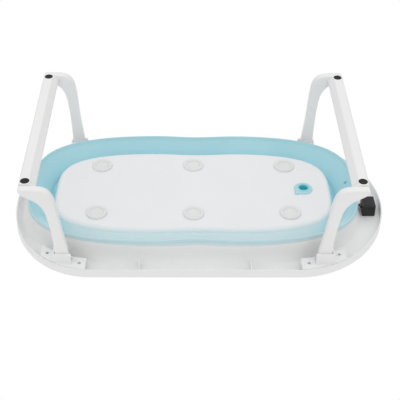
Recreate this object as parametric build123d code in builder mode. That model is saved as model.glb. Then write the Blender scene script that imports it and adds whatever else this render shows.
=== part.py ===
from build123d import *
import math
import os

# Collapsible baby bath on two folding leg frames, with the legs out and the soft
# wall folded up. Millimetres, +Z up. The origin is on the floor under the middle of
# the rim; +X runs along the bath towards the drain and thermometer, -Y is the front.
# Depths are measured downwards from the rim's top face.

os.makedirs("parts", exist_ok=True)

# --- shared dimensions --------------------------------------------------------
HEIGHT = 224.0            # floor to the rim's top face
MID_X = -14.0             # middle of the basin and of the legs
SIDES = (-1, 1)           # front, rear
ENDS = (-1, 1)            # left, right

# rim frame
RIM_HALF_LENGTH = 405.0
RIM_HALF_WIDTH = 231.0
RIM_STRAIGHT_LEFT = -222.0     # where the straight sides end
RIM_STRAIGHT_RIGHT = 202.0
RIM_ROUNDNESS_LEFT = 2.10      # superellipse exponents of the ends
RIM_ROUNDNESS_RIGHT = 1.95
SKIRT_DEPTH = 22.0
SKIRT_T = 2.6
DECK_T = 3.0
WALL_T = 2.8

# Basin levels: depth, half width, left end, right end (both from MID_X), roundness,
# waist (how far the sides are drawn in near the middle).
WALL = [
    (0.0, 206.5, 385.0, 374.0, 2.60, 0.0),
    (4.0, 203.5, 382.5, 371.5, 2.62, 0.3),
    (11.0, 197.0, 377.0, 368.0, 2.70, 1.2),
    (21.0, 192.2, 370.0, 364.8, 2.82, 2.6),
    (35.0, 191.0, 363.5, 361.8, 2.92, 4.0),
    (50.0, 190.5, 360.0, 360.0, 3.00, 5.0),
]
WAIST_X = 8.0             # centre of the waist, from MID_X
WAIST_SPREAD = 62.0

# points through which the outline splines run
BASIN_POINTS = 44
RIM_POINTS = 56

# base pan and drain
BASE_DEPTH = 55.0         # underside of the base
BASE_T = 3.0
DRAIN_X = 229.0
DRAIN_SITE = (DRAIN_X, 0.0)

# leg pivots and crossbar screws (x from MID_X, mirrored to both ends)
PIVOT_X = 270.0
PIVOT_DEPTH = 36.0
PIN_R = 4.0
PLUG_X, PLUG_Y, PLUG_R = 327.0, 196.5, 9.0

# bracket screws, by end: x from MID_X, distance from the long axis
BRACKET_SCREWS = {
    -1: [(-304.0, 178.0), (-235.0, 209.0)],
    1: [(303.0, 182.0), (238.0, 209.0)],
}
BRACKET_SCREW_SITES = [
    (MID_X + x, side * y) for end in ENDS for x, y in BRACKET_SCREWS[end] for side in SIDES
]

# thermometer case and what the rim shares with it
CASE_X0, CASE_X1 = 361.0, 389.0
CASE_Y0, CASE_Y1 = -7.0, 31.0
CASE_TOP, CASE_BOTTOM = 3.2, 26.8      # depths
CASE_X, CASE_Y = (CASE_X0 + CASE_X1) / 2, (CASE_Y0 + CASE_Y1) / 2
CASE_LENGTH, CASE_WIDTH = CASE_X1 - CASE_X0, CASE_Y1 - CASE_Y0
CASE_SITE = (CASE_X, CASE_Y)
WINDOW_Y = 6.0
WINDOW_SITE = (CASE_X, WINDOW_Y)
LEDGE_LENGTH, LEDGE_WIDTH, LEDGE_CORNER = 20.0, 26.0, 3.0
BUTTON_SITE = (CASE_X, 25.0)
CASE_SCREW_SITES = [(CASE_X + side * 7.5, -10.5) for side in (-1, 1)]


# --- placing and saving -------------------------------------------------------
def z_at(depth):
    """Height of a point at a depth below the rim's top face."""
    return HEIGHT - depth


def at_depth(depth):
    """Level plane facing up."""
    return Plane.XY.offset(z_at(depth))


def upright_at(y):
    """Upright plane along the bath, facing -Y."""
    return Plane.XZ.offset(-y)


def leg_point(end, x, depth):
    """Point of a leg on an upright plane; end is -1 (left) or 1 (right)."""
    return (MID_X + end * x, z_at(depth))


def save(part, name):
    part.label = name
    export_step(part, "parts/" + name + ".step")


def layered(layers):
    """Piece made of upright prisms.

    Layers: depth of the lower face, height, shape, its sizes, its places, mode.
    """
    with BuildPart() as piece:
        for depth, height, shape, sizes, sites, mode in layers:
            with BuildSketch(at_depth(depth)):
                with Locations(*sites):
                    shape(*sizes)
            extrude(amount=height, mode=mode)
    return piece.part


# --- outlines -----------------------------------------------------------------
def resample(points, count):
    """Evenly spaced points along a closed polyline, starting at its first point."""
    total = len(points)
    run = [0.0]
    for i in range(total):
        start, stop = points[i], points[(i + 1) % total]
        run.append(run[-1] + math.hypot(stop[0] - start[0], stop[1] - start[1]))
    out = []
    k = 0
    for j in range(count):
        along = run[-1] * j / count
        while run[k + 1] < along:
            k += 1
        start, stop = points[k], points[(k + 1) % total]
        part = (along - run[k]) / max(run[k + 1] - run[k], 1e-9)
        out.append((
            start[0] + (stop[0] - start[0]) * part,
            start[1] + (stop[1] - start[1]) * part,
        ))
    return out


def inset(points, distance):
    """An anticlockwise closed polyline moved inwards."""
    out = []
    for i, (x, y) in enumerate(points):
        before, after = points[i - 1], points[(i + 1) % len(points)]
        dx, dy = after[0] - before[0], after[1] - before[1]
        chord = math.hypot(dx, dy)
        out.append((x - dy / chord * distance, y + dx / chord * distance))
    return out


def quarter(length, width, roundness, count):
    """Quarter superellipse from (length, 0) towards (0, width), last point left out."""
    out = []
    for i in range(count):
        angle = math.pi / 2 * i / count
        out.append((
            length * math.cos(angle) ** (2 / roundness),
            width * math.sin(angle) ** (2 / roundness),
        ))
    return out


def closed(right, left):
    """Closed anticlockwise outline from the +Y halves of its two ends."""
    rear = right + [(-x, y) for x, y in reversed(left[1:])] + [(-left[0][0], 0.0)]
    front = [(x, -y) for x, y in reversed(rear[1:-1])]
    return rear + front


def basin(half_width, left, right, roundness, waist):
    """Dense outline of the basin at one level."""
    right_half = quarter(right, half_width, roundness, 240) + [(0.0, half_width)]
    left_half = quarter(left, half_width, roundness, 240)
    out = []
    for x, y in closed(right_half, left_half):
        dip = math.exp(-(((x - WAIST_X) / WAIST_SPREAD) ** 2))
        out.append((x + MID_X, y * (1.0 - waist / half_width * dip)))
    return resample(out, 1200)


def basin_points(shape, inward=0.0):
    """Spline points of the basin; shape is a level without its depth."""
    return resample(inset(basin(*shape), inward), BASIN_POINTS)


def rim_outline():
    """Outer outline of the rim: straight sides and two rounded ends."""
    right_length = RIM_HALF_LENGTH - RIM_STRAIGHT_RIGHT
    left_length = RIM_HALF_LENGTH + RIM_STRAIGHT_LEFT
    right = [
        (x + RIM_STRAIGHT_RIGHT, y)
        for x, y in quarter(right_length, RIM_HALF_WIDTH, RIM_ROUNDNESS_RIGHT, 200)
    ]
    right += [(RIM_STRAIGHT_RIGHT, RIM_HALF_WIDTH)]
    left = [
        (x - RIM_STRAIGHT_LEFT, y)
        for x, y in quarter(left_length, RIM_HALF_WIDTH, RIM_ROUNDNESS_LEFT, 200)
    ]
    left += [(-RIM_STRAIGHT_LEFT, RIM_HALF_WIDTH)]
    return resample(closed(right, left), 1600)


RIM = rim_outline()
SKIRT_INSIDE = inset(RIM, SKIRT_T)
BRACKET_LIMIT = inset(RIM, SKIRT_T + 0.8)      # brackets stay clear of the skirt


def bracket_limit_y(x):
    """Half width available to the brackets at x."""
    rear = (point for point in BRACKET_LIMIT if point[1] > 0)
    return min(rear, key=lambda point: abs(point[0] - x))[1]


# --- rim frame ----------------------------------------------------------------
RIM_EDGE_R = 2.4
FLARE_START = 2.0         # the wall's first section sits here, within the deck
OPENING_OVERRUN = 1.0
GUSSET_SITES = [(x, side * 214.5) for x in (-126.0, 104.0) for side in SIDES]
GUSSET_T, GUSSET_WIDTH = 2.0, 29.0
RIB_TOP = 1.0             # ribs and bosses run up into the deck to this depth
RIM_BOSS_BOTTOM = 9.8
RIM_BOSS_R = 4.5
PILOT_R, PILOT_HEIGHT = 1.55, 7.6
WINDOW_HOLE = (16.0, 22.0, 2.0)        # length, width, corner radius
BUTTON_HOLE_R = 3.6
LEDGE_DEPTH = 1.4
CASE_PILOT_R, CASE_PILOT_HEIGHT = 1.05, 1.9

flare_levels = [(FLARE_START,) + WALL[1][1:]] + WALL[2:]
opening_levels = (
    [(WALL[0][0] - OPENING_OVERRUN,) + WALL[0][1:]]
    + WALL[1:-1]
    + [(WALL[-1][0] + OPENING_OVERRUN,) + WALL[-1][1:]]
)

with BuildPart() as rim_frame:
    with BuildSketch(at_depth(SKIRT_DEPTH)):
        with BuildLine():
            Spline(*resample(RIM, RIM_POINTS), periodic=True)
        make_face()
    extrude(amount=SKIRT_DEPTH)
    fillet(rim_frame.faces().sort_by(Axis.Z)[-1].edges(), RIM_EDGE_R)
    with BuildSketch(at_depth(SKIRT_DEPTH)):
        with BuildLine():
            Spline(*resample(SKIRT_INSIDE, RIM_POINTS), periodic=True)
        make_face()
    extrude(amount=SKIRT_DEPTH - DECK_T, mode=Mode.SUBTRACT)
    # inner wall, flaring out into the deck
    for depth, *shape in flare_levels:
        with BuildSketch(at_depth(depth)):
            with BuildLine():
                Spline(*basin_points(shape), periodic=True)
            make_face()
    loft()
    # gusset ribs across the channel
    with BuildSketch(at_depth(SKIRT_DEPTH)):
        with Locations(*GUSSET_SITES):
            Rectangle(GUSSET_T, GUSSET_WIDTH)
    extrude(amount=SKIRT_DEPTH - RIB_TOP)
    # bosses for the bracket screws
    with BuildSketch(at_depth(RIM_BOSS_BOTTOM)):
        with Locations(*BRACKET_SCREW_SITES):
            Circle(RIM_BOSS_R)
    extrude(amount=RIM_BOSS_BOTTOM - RIB_TOP)
    # bathing opening
    for depth, *shape in opening_levels:
        with BuildSketch(at_depth(depth)):
            with BuildLine():
                Spline(*basin_points(shape, WALL_T), periodic=True)
            make_face()
    loft(mode=Mode.SUBTRACT)
    # pilot holes in the bosses
    with BuildSketch(at_depth(RIM_BOSS_BOTTOM)):
        with Locations(*BRACKET_SCREW_SITES):
            Circle(PILOT_R)
    extrude(amount=PILOT_HEIGHT, mode=Mode.SUBTRACT)
    # display window and button hole, through the deck
    with BuildSketch(at_depth(DECK_T + 1.0)):
        with Locations(WINDOW_SITE):
            RectangleRounded(*WINDOW_HOLE)
        with Locations(BUTTON_SITE):
            Circle(BUTTON_HOLE_R)
    extrude(amount=DECK_T + 2.0, mode=Mode.SUBTRACT)
    # ledge for the window pane
    with BuildSketch(at_depth(LEDGE_DEPTH)):
        with Locations(WINDOW_SITE):
            RectangleRounded(LEDGE_LENGTH, LEDGE_WIDTH, LEDGE_CORNER)
    extrude(amount=2.0, mode=Mode.SUBTRACT)
    # pilot holes for the thermometer's screws
    with BuildSketch(at_depth(DECK_T)):
        with Locations(*CASE_SCREW_SITES):
            Circle(CASE_PILOT_R)
    extrude(amount=CASE_PILOT_HEIGHT, mode=Mode.SUBTRACT)
save(rim_frame.part, "rim_frame")


# --- soft folding wall --------------------------------------------------------
# same columns as WALL
FOLD_ROOT = (50.2, 190.5, 360.0, 360.0, 3.00, 5.0)
FOLD_LOW = (67.0, 191.5, 356.0, 356.0, 3.30, 6.0)
FOLD_HIGH = (20.0, 152.0, 315.0, 315.0, 3.40, 5.5)
FOLD_BASE = (42.5, 142.5, 304.0, 304.0, 3.50, 5.5)
SOFT_T = 2.4

# start level, end level, outer insets, inner insets (each at start and end), overrun
# of the hollow past both levels
SOFT_BANDS = [
    (FOLD_ROOT, FOLD_LOW, (0.0, 0.0), (SOFT_T, SOFT_T), 0.2),     # outer, going down
    (FOLD_LOW, FOLD_HIGH, (0.8, 0.0), (4.0, 3.2), 0.05),          # sloping, back up
    (FOLD_HIGH, FOLD_BASE, (0.6, 0.0), (3.2, SOFT_T), 0.1),       # inner, down to the base
]


def soft_band(start, end, outer_insets, inner_insets, overrun):
    """One band of the soft wall, between two fold levels."""
    past = math.copysign(overrun, end[0] - start[0])
    passes = (
        (start[0], end[0], outer_insets, Mode.ADD),
        (start[0] - past, end[0] + past, inner_insets, Mode.SUBTRACT),
    )
    with BuildPart() as one_band:
        for start_depth, end_depth, insets, mode in passes:
            for depth, level, inward in (
                (start_depth, start, insets[0]), (end_depth, end, insets[1]),
            ):
                with BuildSketch(at_depth(depth)):
                    with BuildLine():
                        Spline(*basin_points(level[1:], inward), periodic=True)
                    make_face()
            loft(mode=mode)
    return one_band.part


with BuildPart() as bellows:
    for band in SOFT_BANDS:
        add(soft_band(*band))
save(bellows.part, "bellows_wall")


# --- base pan -----------------------------------------------------------------
BASE_SHAPE = (141.5, 303.0, 303.0, 3.5, 5.5)   # columns of WALL after the depth
BASE_EDGE_TOP = 43.0      # the edge turns up to this depth
BASE_EDGE_R = 10.0
HOLLOW_INSET_BOTTOM = 8.5
HOLLOW_INSET_TOP = 2.6
DRAIN_HOLE_R = 15.0

with BuildPart() as base_pan:
    with BuildSketch(at_depth(BASE_DEPTH)):
        with BuildLine():
            Spline(*basin_points(BASE_SHAPE), periodic=True)
        make_face()
    extrude(amount=BASE_DEPTH - BASE_EDGE_TOP)
    fillet(base_pan.faces().sort_by(Axis.Z)[0].edges(), BASE_EDGE_R)
    with BuildSketch(at_depth(BASE_DEPTH - BASE_T)) as hollow_bottom:
        with BuildLine():
            Spline(*basin_points(BASE_SHAPE, HOLLOW_INSET_BOTTOM), periodic=True)
        make_face()
    with BuildSketch(at_depth(BASE_EDGE_TOP - 0.1)) as hollow_top:
        with BuildLine():
            Spline(*basin_points(BASE_SHAPE, HOLLOW_INSET_TOP), periodic=True)
        make_face()
    loft([hollow_bottom.sketch, hollow_top.sketch], mode=Mode.SUBTRACT)
    with BuildSketch(at_depth(BASE_DEPTH + 1.0)):
        with Locations(DRAIN_SITE):
            Circle(DRAIN_HOLE_R)
    # a loft of named sketches leaves them pending, so this cut takes them too;
    # they only sweep space that is already empty
    extrude(amount=8.0, mode=Mode.SUBTRACT)
save(base_pan.part, "base_pan")


# --- base pads ----------------------------------------------------------------
PAD_R = 23.0
PAD_HEIGHT = 4.5
PAD_EDGE_R = 1.8
PAD_RECESS_R, PAD_RECESS_HEIGHT = 15.5, 1.6
PAD_SITES = [
    (MID_X + x, side * y) for side in SIDES for x, y in ((-207.0, 85.0), (0.0, 87.0), (207.0, 85.0))
]

with BuildPart() as base_pads:
    with BuildSketch(at_depth(BASE_DEPTH + PAD_HEIGHT)):
        with Locations(*PAD_SITES):
            Circle(PAD_R)
    extrude(amount=PAD_HEIGHT)
    fillet(base_pads.edges().group_by(Axis.Z)[0], PAD_EDGE_R)
    with BuildSketch(at_depth(BASE_DEPTH + PAD_HEIGHT)):
        with Locations(*PAD_SITES):
            Circle(PAD_RECESS_R)
    extrude(amount=PAD_RECESS_HEIGHT, mode=Mode.SUBTRACT)
save(base_pads.part, "base_pads")


# --- drain seat ---------------------------------------------------------------
SEAT_R = 20.0
SEAT_T = 3.2              # flange under the base
SEAT_EDGE_R = 1.2
LUG_SITE = (DRAIN_X - 14.6, 15.2)
LUG_R = 6.2
NECK_R, NECK_HEIGHT = 14.6, 10.2
NECK_DROP = 5.2           # neck's lower end below the base
COLLAR_R, COLLAR_T = 18.5, 2.0
STEM_R = 11.5
STEM_CLEARANCE = 0.08

with BuildPart() as drain_seat:
    with BuildSketch(at_depth(BASE_DEPTH + SEAT_T)):
        with Locations(DRAIN_SITE):
            Circle(SEAT_R)
        with Locations(LUG_SITE):
            Circle(LUG_R)
    extrude(amount=SEAT_T)
    fillet(drain_seat.edges().group_by(Axis.Z)[0], SEAT_EDGE_R)
    with BuildSketch(at_depth(BASE_DEPTH + NECK_DROP)):
        with Locations(DRAIN_SITE):
            Circle(NECK_R)
    extrude(amount=NECK_HEIGHT)
    # collar on the base's upper face
    with BuildSketch(at_depth(BASE_DEPTH - BASE_T - 0.05)):
        with Locations(DRAIN_SITE):
            Circle(COLLAR_R)
    extrude(amount=COLLAR_T)
    with BuildSketch(at_depth(BASE_DEPTH + 6.0)):
        with Locations(DRAIN_SITE):
            Circle(STEM_R + STEM_CLEARANCE)
    extrude(amount=14.0, mode=Mode.SUBTRACT)
save(drain_seat.part, "drain_seat")


# --- drain plug ---------------------------------------------------------------
STEM_WALL = 2.0
STEM_DROP, STEM_HEIGHT = 4.2, 10.0
CAP_R, CAP_T, CAP_DEPTH = 17.0, 3.0, 49.6
CAP_EDGE_R = 1.2
TAB_T = 4.0
TAB_LENGTH, TAB_HEIGHT, TAB_CORNER, TAB_DEPTH = 15.0, 12.0, 5.0, 42.2
TAB_HOLE_R, TAB_HOLE_DEPTH = 3.0, 41.6

with BuildPart() as drain_plug:
    with BuildSketch(at_depth(BASE_DEPTH + STEM_DROP)):
        with Locations(DRAIN_SITE):
            Circle(STEM_R)
            Circle(STEM_R - STEM_WALL, mode=Mode.SUBTRACT)
    extrude(amount=STEM_HEIGHT)
    with BuildSketch(at_depth(CAP_DEPTH)):
        with Locations(DRAIN_SITE):
            Circle(CAP_R)
    extrude(amount=CAP_T)
    fillet(drain_plug.faces().sort_by(Axis.Z)[-1].edges(), CAP_EDGE_R)
    # finger tab on top
    with BuildSketch(upright_at(-TAB_T / 2)):
        with Locations((DRAIN_X, z_at(TAB_DEPTH))):
            RectangleRounded(TAB_LENGTH, TAB_HEIGHT, TAB_CORNER)
        with Locations((DRAIN_X, z_at(TAB_HOLE_DEPTH))):
            Circle(TAB_HOLE_R, mode=Mode.SUBTRACT)
    extrude(amount=-TAB_T)
save(drain_plug.part, "drain_plug")


# --- leg brackets (x from MID_X) ----------------------------------------------
PLATE_TOP, PLATE_BOTTOM = 19.4, 22.0   # depths
PLATE_X0, PLATE_X1 = 222.0, 318.0
PLATE_WIDTH = 34.0
CHEEK_BOTTOM = 46.0       # depth of the outer wall and the ear
CHEEK_X0, CHEEK_X1 = 251.0, 288.5
OUTER_WALL_Y = 206.9      # inner face of the outer wall
OUTER_WALL_Y0 = 213.4     # outer face at CHEEK_X0
OUTER_WALL_Y1 = 211.8     # the same at CHEEK_X1, at most
END_WEB_T = 3.0
EAR_Y, EAR_T = 187.6, 5.4
EAR_PROFILE = [           # x, depth
    (258.0, PLATE_TOP), (258.0, 38.0), (264.0, CHEEK_BOTTOM),
    (CHEEK_X1, CHEEK_BOTTOM), (CHEEK_X1, PLATE_TOP),
]
POCKET_X, POCKET_Y = 268.2, 200.0
POCKET_LENGTH, POCKET_WIDTH = 34.6, 13.8
BOSS_R, BOSS_TOP, BOSS_DROP = 6.0, 10.0, 0.8
COUNTERBORE_R, COUNTERBORE_TOP = 3.5, 12.0
SCREW_BORE_R = 1.8
PIN_END_Y = 208.6         # blind end of the pin bore


def bracket(end, side):
    """Bracket of the left (-1) or right (1) leg, front (-1) or rear (1) side."""
    screws = [(MID_X + x, side * y) for x, y in BRACKET_SCREWS[end]]
    stations = [MID_X + end * (PLATE_X0 + (PLATE_X1 - PLATE_X0) * i / 8) for i in range(9)]
    outer_points = [(x, side * bracket_limit_y(x)) for x in stations]
    inner_points = [(x, side * (bracket_limit_y(x) - PLATE_WIDTH)) for x in stations]
    x0, x1 = MID_X + end * CHEEK_X0, MID_X + end * CHEEK_X1
    web_x = x1 - end * END_WEB_T
    wall_y1 = min(OUTER_WALL_Y1, bracket_limit_y(x1))
    with BuildPart() as piece:
        with BuildSketch(at_depth(PLATE_BOTTOM)):
            with BuildLine():
                outer = Spline(*outer_points)
                inner = Spline(*inner_points)
                Line(outer @ 0, inner @ 0)
                Line(outer @ 1, inner @ 1)
            make_face()
        extrude(amount=PLATE_BOTTOM - PLATE_TOP)
        # outer wall, outboard of the arm, with a web across the far end
        with BuildSketch(at_depth(CHEEK_BOTTOM)):
            with BuildLine():
                Polyline(
                    (x0, side * OUTER_WALL_Y), (x0, side * OUTER_WALL_Y0),
                    (x1, side * wall_y1), (x1, side * EAR_Y),
                    (web_x, side * EAR_Y), (web_x, side * OUTER_WALL_Y), close=True,
                )
            make_face()
        extrude(amount=CHEEK_BOTTOM - PLATE_TOP)
        # ear inboard of the arm
        with BuildSketch(upright_at(side * EAR_Y)):
            with BuildLine():
                Polyline(*[leg_point(end, x, depth) for x, depth in EAR_PROFILE], close=True)
            make_face()
        extrude(amount=-side * EAR_T)
        # pocket through the plate for the arm's upper end
        with BuildSketch(at_depth(PLATE_BOTTOM + 0.2)):
            with Locations((MID_X + end * POCKET_X, side * POCKET_Y)):
                Rectangle(POCKET_LENGTH, POCKET_WIDTH)
        extrude(amount=4.0, mode=Mode.SUBTRACT)
        # screw bosses reach up to the rim's bosses
        for site in screws:
            with BuildSketch(at_depth(PLATE_BOTTOM + BOSS_DROP)):
                with Locations(site):
                    Circle(BOSS_R)
            extrude(amount=PLATE_BOTTOM + BOSS_DROP - BOSS_TOP)
        for site in screws:
            with BuildSketch(at_depth(PLATE_BOTTOM + 1.0)):
                with Locations(site):
                    Circle(COUNTERBORE_R)
            extrude(amount=PLATE_BOTTOM + 1.0 - COUNTERBORE_TOP, mode=Mode.SUBTRACT)
            with BuildSketch(at_depth(COUNTERBORE_TOP + 0.5)):
                with Locations(site):
                    Circle(SCREW_BORE_R)
            extrude(amount=4.0, mode=Mode.SUBTRACT)
        # pin bore: through the ear, blind in the outer wall
        with BuildSketch(upright_at(side * PIN_END_Y)):
            with Locations(leg_point(end, PIVOT_X, PIVOT_DEPTH)):
                Circle(PIN_R + 0.03)
        extrude(amount=side * 30.0, mode=Mode.SUBTRACT)
    return piece.part


for end, end_name in zip(ENDS, ("left", "right")):
    for side, side_name in zip(SIDES, ("front", "rear")):
        save(bracket(end, side), f"leg_bracket_{side_name}_{end_name}")

# heads, shanks and the two bars of the cross slots
save(layered([
    (14.4, 2.3, Circle, (3.1,), BRACKET_SCREW_SITES, Mode.ADD),
    (12.2, 8.6, Circle, (1.5,), BRACKET_SCREW_SITES, Mode.ADD),
    (14.5, 1.3, Rectangle, (3.6, 0.8), BRACKET_SCREW_SITES, Mode.SUBTRACT),
    (14.5, 1.3, Rectangle, (0.8, 3.6), BRACKET_SCREW_SITES, Mode.SUBTRACT),
]), "bracket_screws")


# --- pivot pins ---------------------------------------------------------------
PIN_TIP_Y, PIN_LENGTH = 208.4, 21.0
PIN_HEAD_R, PIN_HEAD_T = 6.2, 2.0

with BuildPart() as pivot_pins:
    for end in ENDS:
        for side in SIDES:
            with BuildSketch(upright_at(side * PIN_TIP_Y)):
                with Locations(leg_point(end, PIVOT_X, PIVOT_DEPTH)):
                    Circle(PIN_R)
            extrude(amount=side * PIN_LENGTH)
            # head on the inboard end
            with BuildSketch(upright_at(side * (PIN_TIP_Y - PIN_LENGTH))):
                with Locations(leg_point(end, PIVOT_X, PIVOT_DEPTH)):
                    Circle(PIN_HEAD_R)
            extrude(amount=side * PIN_HEAD_T)
save(pivot_pins.part, "pivot_pins")


# --- leg arms -----------------------------------------------------------------
# distance of the arm's two faces from the long axis, at the pivot and at the floor
ARM_INNER_PIVOT_Y, ARM_INNER_FLOOR_Y = 193.5, 206.7
ARM_OUTER_PIVOT_Y, ARM_OUTER_FLOOR_Y = 206.5, 223.8
ARM_BLANK_Y, ARM_BLANK_T = 230.0, 42.0
TRIM_INNER_Y, TRIM_OUTER_Y = 180.0, 236.0      # far sides of the trimming blocks
TRIM_X, TRIM_LENGTH = 245.0, 105.0
SEAT_Y0, SEAT_Y1 = 187.5, 208.5
ARM_TOP = (269.8, 21.8)   # crown of the arc round the pivot

# side profile (x, depth): the edge nearer the bath's middle, from pivot to floor end
ARM_EDGE_DOWN = [
    (255.6, 36.0), (256.2, 50.0), (258.9, 72.0), (262.4, 98.0),
    (265.4, 128.0), (267.6, 156.0), (270.4, 182.0), (274.6, 200.0),
    (281.5, 211.0), (290.5, 217.0), (302.0, 219.8), (314.0, 220.5),
]
# the edge nearer the bath's end, from the floor end back up to the pivot
ARM_EDGE_UP = [
    (339.2, 220.5), (338.6, 213.5), (332.0, 205.5), (318.5, 197.0),
    (306.5, 188.5), (298.0, 177.0), (292.3, 161.0), (289.3, 141.0),
    (287.0, 118.0), (285.4, 92.0), (284.4, 66.0), (284.0, 36.0),
]
# seat on top of the crossbar (x, depth)
ARM_SEAT = [
    (309.0, 207.0), (308.6, 201.0), (312.5, 194.6), (321.0, 191.6),
    (330.5, 195.0), (336.5, 201.5), (338.2, 207.0),
]


def lean(pivot_y, floor_y):
    """A face of the arm, running smoothly outwards: (y, depth) points going down."""
    out = [(pivot_y, 10.0), (pivot_y, 60.0)]
    for i in range(1, 9):
        t = i / 9
        ease = 0.5 * t + 0.5 * t * t * (3 - 2 * t)
        out.append((pivot_y + (floor_y - pivot_y) * ease, 60.0 + 135.0 * t))
    return out + [(floor_y, 198.0), (floor_y, 226.0)]


def arm(end, side):
    edge_down, edge_up, seat = (
        [leg_point(end, x, depth) for x, depth in table]
        for table in (ARM_EDGE_DOWN, ARM_EDGE_UP, ARM_SEAT)
    )
    trims = (
        (lean(ARM_INNER_PIVOT_Y, ARM_INNER_FLOOR_Y), TRIM_INNER_Y),
        (lean(ARM_OUTER_PIVOT_Y, ARM_OUTER_FLOOR_Y), TRIM_OUTER_Y),
    )
    with BuildPart() as piece:
        with BuildSketch(upright_at(side * ARM_BLANK_Y)):
            with BuildLine():
                Spline(*edge_down)
                Line(edge_down[-1], edge_up[0])
                Spline(*edge_up)
                ThreePointArc(edge_up[-1], leg_point(end, *ARM_TOP), edge_down[0])
            make_face()
        extrude(amount=side * ARM_BLANK_T)
        # the arm leans outwards: trim it on the inner and on the outer side
        for face, far_y in trims:
            points = [(side * y, z_at(depth)) for y, depth in face]
            far_top = (side * far_y, points[0][1])
            far_bottom = (side * far_y, points[-1][1])
            with BuildSketch(Plane.YZ.offset(MID_X + end * TRIM_X)):
                with BuildLine():
                    Line(points[0], points[1])
                    Spline(*points[1:-1])
                    Line(points[-2], points[-1])
                    Line(points[-1], far_bottom)
                    Line(far_bottom, far_top)
                    Line(far_top, points[0])
                make_face()
            extrude(amount=end * TRIM_LENGTH, mode=Mode.SUBTRACT)
        # seat above the crossbar
        with BuildSketch(upright_at(side * SEAT_Y1)):
            with BuildLine():
                Spline(*seat)
                Line(seat[-1], seat[0])
            make_face()
        extrude(amount=side * (SEAT_Y1 - SEAT_Y0))
        # bore for the pivot pin
        with BuildSketch(upright_at(side * (ARM_OUTER_PIVOT_Y + 1.0))):
            with Locations(leg_point(end, PIVOT_X, PIVOT_DEPTH)):
                Circle(PIN_R + 0.07)
        extrude(amount=side * 20.0, mode=Mode.SUBTRACT)
        # blind hole for the crossbar screw
        with BuildSketch(at_depth(208.0)):
            with Locations((MID_X + end * PLUG_X, side * PLUG_Y)):
                Circle(1.85)
        extrude(amount=10.0, mode=Mode.SUBTRACT)
    return piece.part


# --- crossbars, their screws and foot plugs -----------------------------------
CROSS_TOP, CROSS_BOTTOM = 207.2, 223.2         # depths
CROSS_X0, CROSS_X1 = 307.5, 339.2
CROSS_HALF = 206.5
# cross-section (x, depth): narrow floor face, sloping side towards the bath's middle
CROSS = [
    (CROSS_X1, CROSS_TOP), (CROSS_X1, 219.6), (338.6, 221.4), (337.2, 222.8),
    (335.4, CROSS_BOTTOM), (320.4, CROSS_BOTTOM), (318.6, 222.4), (308.6, 211.6),
    (CROSS_X0, 209.4), (CROSS_X0, CROSS_TOP),
]
PLUG_BOSS_R = 11.0
PLUG_BOSS_X, PLUG_BOSS_Y = PLUG_X - 0.6, PLUG_Y - 1.0
PLUG_HEIGHT, PLUG_EDGE_R = 6.6, 0.9


def plug_sites(end):
    return [(MID_X + end * PLUG_X, side * PLUG_Y) for side in SIDES]


def crossbar(end):
    with BuildPart() as piece:
        with BuildSketch(upright_at(CROSS_HALF)):
            with BuildLine():
                Polyline(*[leg_point(end, x, depth) for x, depth in CROSS], close=True)
            make_face()
        extrude(amount=2 * CROSS_HALF)
        # round bosses for the foot plugs
        for side in SIDES:
            with BuildSketch(at_depth(CROSS_BOTTOM)):
                with Locations((MID_X + end * PLUG_BOSS_X, side * PLUG_BOSS_Y)):
                    Circle(PLUG_BOSS_R)
            extrude(amount=CROSS_BOTTOM - CROSS_TOP - 0.5)
        # plug pockets and screw holes
        for site in plug_sites(end):
            with BuildSketch(at_depth(CROSS_BOTTOM + 0.5)):
                with Locations(site):
                    Circle(PLUG_R + 0.1)
            extrude(amount=9.0, mode=Mode.SUBTRACT)
            with BuildSketch(at_depth(215.5)):
                with Locations(site):
                    Circle(2.1)
            extrude(amount=9.0, mode=Mode.SUBTRACT)
    return piece.part


def leg_screws(end):
    """Heads and shanks."""
    return layered([
        (217.0, 2.2, Circle, (4.0,), plug_sites(end), Mode.ADD),
        (214.9, 15.9, Circle, (1.8,), plug_sites(end), Mode.ADD),
    ])


def foot_plugs(end):
    with BuildPart() as piece:
        with BuildSketch():
            with Locations(*plug_sites(end)):
                Circle(PLUG_R)
        extrude(amount=PLUG_HEIGHT)
        fillet(piece.edges().group_by(Axis.Z)[0], PLUG_EDGE_R)
    return piece.part


for end, end_name in zip(ENDS, ("left", "right")):
    for side, side_name in zip(SIDES, ("front", "rear")):
        save(arm(end, side), f"{end_name}_leg_arm_{side_name}")
    save(crossbar(end), f"{end_name}_leg_crossbar")
    save(leg_screws(end), f"{end_name}_leg_screws")
    save(foot_plugs(end), f"{end_name}_foot_plugs")


# --- thermometer --------------------------------------------------------------
CASE_T = 1.6
CASE_CORNER = 2.0
FLANGE_BOTTOM = 5.2
CABLE_Y, CABLE_DEPTH = 20.0, 20.0
CABLE_HOLE_R = 1.9
PANE_GAP = 0.15           # window pane to the edge of its ledge
CASE_SIZE = (CASE_LENGTH, CASE_WIDTH, CASE_CORNER)
grip_sites = [
    (CASE_X - 11.2 + 2.8 * i, y) for i in range(9) for y in (CASE_Y1 + 0.3, CASE_Y0 - 0.3)
]

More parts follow.
